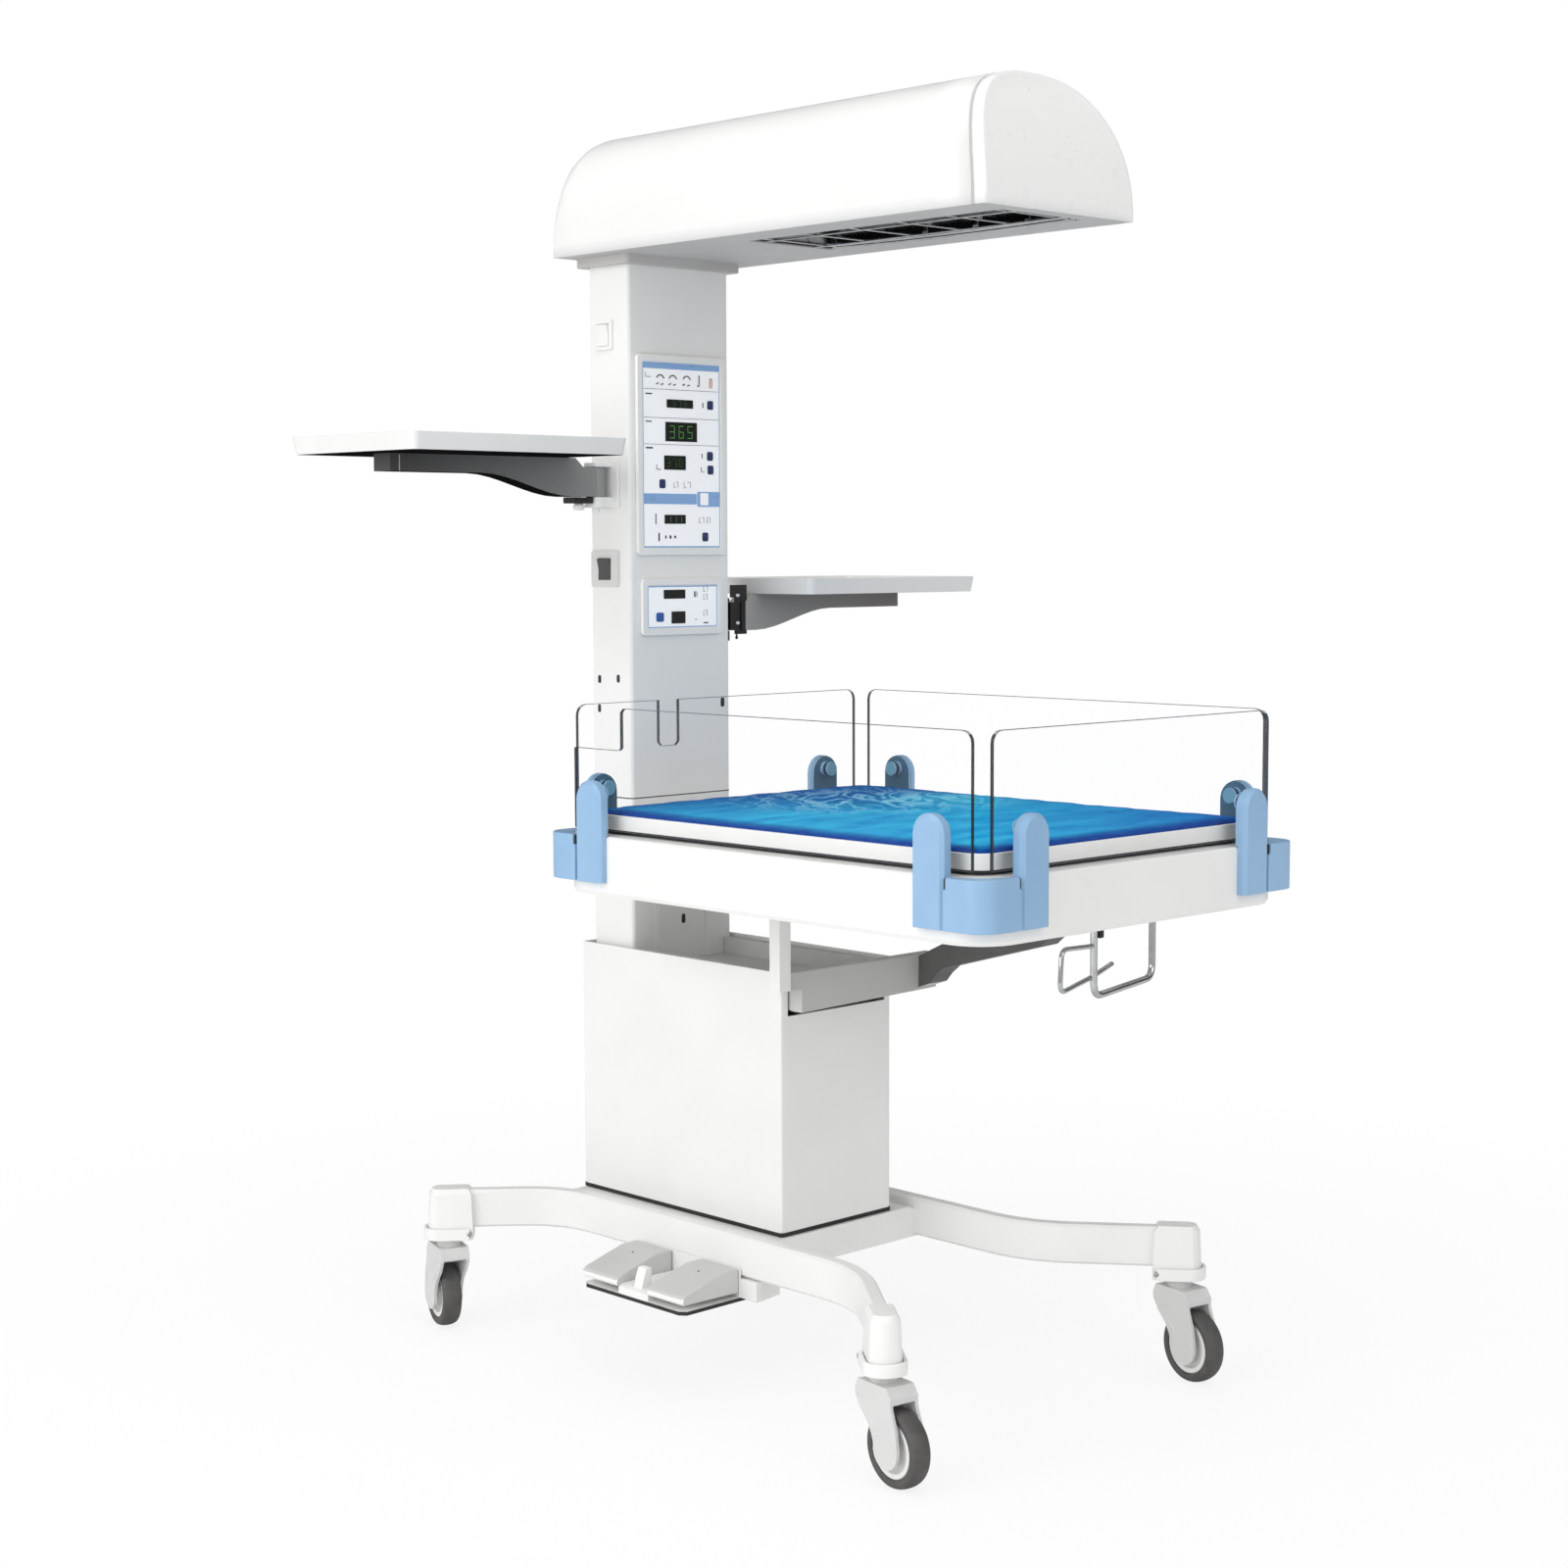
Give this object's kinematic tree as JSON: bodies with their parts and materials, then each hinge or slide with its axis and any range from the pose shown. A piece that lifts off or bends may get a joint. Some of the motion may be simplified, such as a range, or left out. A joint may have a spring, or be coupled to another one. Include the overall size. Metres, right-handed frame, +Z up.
{
  "type": "infant radiant warmer",
  "caption": "Mobile infant care bed with an overhead radiant heater hood on a lift column, clear fold-down guards, swivel shelves and braked casters.",
  "frame": {"origin": "on the floor under the centre of the bounding box", "axes": "+Z up, -Y towards the foot end of the bed, +X to the right seen from the foot end"},
  "size_m": [1.17, 1.2272, 1.874],
  "materials": {
    "white_painted_steel": "satin white powder coat",
    "white_plastic": "satin white moulding",
    "grey_painted_steel": "satin grey powder coat",
    "light_grey_plastic": "satin light grey",
    "blue_plastic": "pale blue moulding",
    "mattress_cover": "glossy blue coated cover over foam",
    "clear_acrylic": "clear polished sheet",
    "black_plastic": "matt black",
    "tyre_rubber": "dark grey tread on a white hub",
    "chrome_wire": "polished",
    "polished_aluminium": "bright sheet",
    "heater_quartz": "quartz tube"
  },
  "bodies": {
    "base": {"base_frame": "white_painted_steel", "cabinet_cover": "white_painted_steel", "lift_guide": "grey_painted_steel", "pedal_housing": "white_plastic"},
    "column": {"column_lower": "white_painted_steel", "column_upper": "white_painted_steel", "control_panel": "white_plastic", "aux_panel": "white_plastic", "hood_shell": "white_plastic", "hood_end_cap": "light_grey_plastic", "hood_pan": "grey_painted_steel", "heater_reflector": "polished_aluminium", "heater_element": "heater_quartz", "heater_guard": "chrome_wire", "shelf_bracket_left": "white_painted_steel", "shelf_bracket_right": "black_plastic", "bed_carrier": "grey_painted_steel", "bed_chassis": "white_painted_steel", "corner_block_fl": "blue_plastic", "corner_block_fr": "blue_plastic", "corner_block_rl": "blue_plastic", "corner_block_rr": "blue_plastic", "seat_ring": "black_plastic", "wire_holder": "chrome_wire", "guard_panel_rear": "clear_acrylic", "guard_post_rear_l": "blue_plastic", "guard_post_rear_r": "blue_plastic"},
    "platform": {"mattress_platform": "white_plastic", "mattress": "mattress_cover"},
    "guard_front": {"guard_panel_front": "clear_acrylic", "guard_post_front_l": "blue_plastic", "guard_post_front_r": "blue_plastic"},
    "guard_left": {"guard_panel_left": "clear_acrylic", "guard_post_left_b": "blue_plastic", "guard_post_left_f": "blue_plastic"},
    "guard_right": {"guard_panel_right": "clear_acrylic", "guard_post_right_b": "blue_plastic", "guard_post_right_f": "blue_plastic"},
    "shelf_left": {"shelf_arm_left": "grey_painted_steel", "shelf_tray_left": "light_grey_plastic"},
    "shelf_right": {"shelf_arm_right": "grey_painted_steel", "shelf_tray_right": "light_grey_plastic"},
    "caster_fl": {"caster_fork_fl": "light_grey_plastic"},
    "wheel_fl": {"caster_wheel_fl": "tyre_rubber"},
    "brake_fl": {"brake_stirrup_fl": "white_plastic"},
    "caster_fr": {"caster_fork_fr": "light_grey_plastic"},
    "wheel_fr": {"caster_wheel_fr": "tyre_rubber"},
    "brake_fr": {"brake_stirrup_fr": "white_plastic"},
    "caster_rl": {"caster_fork_rl": "light_grey_plastic"},
    "wheel_rl": {"caster_wheel_rl": "tyre_rubber"},
    "brake_rl": {"brake_stirrup_rl": "white_plastic"},
    "caster_rr": {"caster_fork_rr": "light_grey_plastic"},
    "wheel_rr": {"caster_wheel_rr": "tyre_rubber"},
    "brake_rr": {"brake_stirrup_rr": "white_plastic"},
    "pedal_up": {"pedal_up": "light_grey_plastic"},
    "pedal_down": {"pedal_down": "light_grey_plastic"},
    "power_switch": {"power_switch": "black_plastic"},
    "lamp_switch": {"lamp_switch": "white_plastic"}
  },
  "joints": [
    {"name": "lift", "type": "slide", "parent": "base", "child": "column", "axis": [0, 0, 1], "range_m": [0, 0.2]},
    {"name": "platform_tilt", "type": "hinge", "parent": "column", "child": "platform", "pos_m": [0, -0.56996, 0.824], "axis": [1, 0, 0], "range_deg": [0, 10]},
    {"name": "guard_front_fold", "type": "hinge", "parent": "column", "child": "guard_front", "pos_m": [0, -0.61356, 0.75], "axis": [1, 0, 0], "range_deg": [0, 180]},
    {"name": "guard_left_fold", "type": "hinge", "parent": "column", "child": "guard_left", "pos_m": [-0.336, -0.17806, 0.75], "axis": [0, -1, 0], "range_deg": [0, 180]},
    {"name": "guard_right_fold", "type": "hinge", "parent": "column", "child": "guard_right", "pos_m": [0.336, -0.17806, 0.75], "axis": [0, 1, 0], "range_deg": [0, 180]},
    {"name": "shelf_left_swing", "type": "hinge", "parent": "column", "child": "shelf_left", "pos_m": [-0.129, 0.37744, 1.332], "axis": [0, 0, 1], "range_deg": [-90, 90]},
    {"name": "shelf_right_swing", "type": "hinge", "parent": "column", "child": "shelf_right", "pos_m": [0.129, 0.37744, 1.122], "axis": [0, 0, 1], "range_deg": [-90, 90]},
    {"name": "caster_fl_swivel", "type": "hinge", "parent": "base", "child": "caster_fl", "pos_m": [-0.318, -0.42256, 0.142], "axis": [0, 0, 1], "continuous": true},
    {"name": "wheel_fl_roll", "type": "hinge", "parent": "caster_fl", "child": "wheel_fl", "pos_m": [-0.32245, -0.45425, 0.0535], "axis": [0.9903, -0.1392, 0], "continuous": true},
    {"name": "brake_fl_press", "type": "hinge", "parent": "base", "child": "brake_fl", "pos_m": [-0.29689, -0.39591, 0.151], "axis": [0.7839, -0.6209, 0], "range_deg": [0, 8]},
    {"name": "caster_fr_swivel", "type": "hinge", "parent": "base", "child": "caster_fr", "pos_m": [0.318, -0.42256, 0.142], "axis": [0, 0, 1], "continuous": true},
    {"name": "wheel_fr_roll", "type": "hinge", "parent": "caster_fr", "child": "wheel_fr", "pos_m": [0.31244, -0.45407, 0.0535], "axis": [0.9848, -0.1736, 0], "continuous": true},
    {"name": "brake_fr_press", "type": "hinge", "parent": "base", "child": "brake_fr", "pos_m": [0.29689, -0.39591, 0.151], "axis": [0.7839, 0.6209, 0], "range_deg": [0, 8]},
    {"name": "caster_rl_swivel", "type": "hinge", "parent": "base", "child": "caster_rl", "pos_m": [-0.318, 0.53044, 0.142], "axis": [0, 0, 1], "continuous": true},
    {"name": "wheel_rl_roll", "type": "hinge", "parent": "caster_rl", "child": "wheel_rl", "pos_m": [-0.30758, 0.5607, 0.0535], "axis": [-0.9455, 0.3256, 0], "continuous": true},
    {"name": "brake_rl_press", "type": "hinge", "parent": "base", "child": "brake_rl", "pos_m": [-0.29211, 0.5084, 0.151], "axis": [-0.6481, -0.7615, 0], "range_deg": [0, 8]},
    {"name": "caster_rr_swivel", "type": "hinge", "parent": "base", "child": "caster_rr", "pos_m": [0.318, 0.53044, 0.142], "axis": [0, 0, 1], "continuous": true},
    {"name": "wheel_rr_roll", "type": "hinge", "parent": "caster_rr", "child": "wheel_rr", "pos_m": [0.34251, 0.55101, 0.0535], "axis": [-0.6428, 0.766, 0], "continuous": true},
    {"name": "brake_rr_press", "type": "hinge", "parent": "base", "child": "brake_rr", "pos_m": [0.29211, 0.5084, 0.151], "axis": [-0.6481, 0.7615, 0], "range_deg": [0, 8]},
    {"name": "pedal_up_press", "type": "hinge", "parent": "base", "child": "pedal_up", "pos_m": [-0.201, 0.10194, 0.163], "axis": [0, -1, 0], "range_deg": [0, 3], "stiffness_Nm_per_rad": 30, "springref_deg": -6.88},
    {"name": "pedal_down_press", "type": "hinge", "parent": "base", "child": "pedal_down", "pos_m": [-0.201, 0.10194, 0.163], "axis": [0, -1, 0], "range_deg": [0, 3], "stiffness_Nm_per_rad": 30, "springref_deg": -6.88},
    {"name": "power_switch_rock", "type": "hinge", "parent": "column", "child": "power_switch", "pos_m": [-0.105, 0.38144, 1.202], "axis": [0, 1, 0], "range_deg": [0, 10]},
    {"name": "lamp_switch_rock", "type": "hinge", "parent": "column", "child": "lamp_switch", "pos_m": [-0.105, 0.38144, 1.563], "axis": [0, 1, 0], "range_deg": [0, 10]}
  ]
}
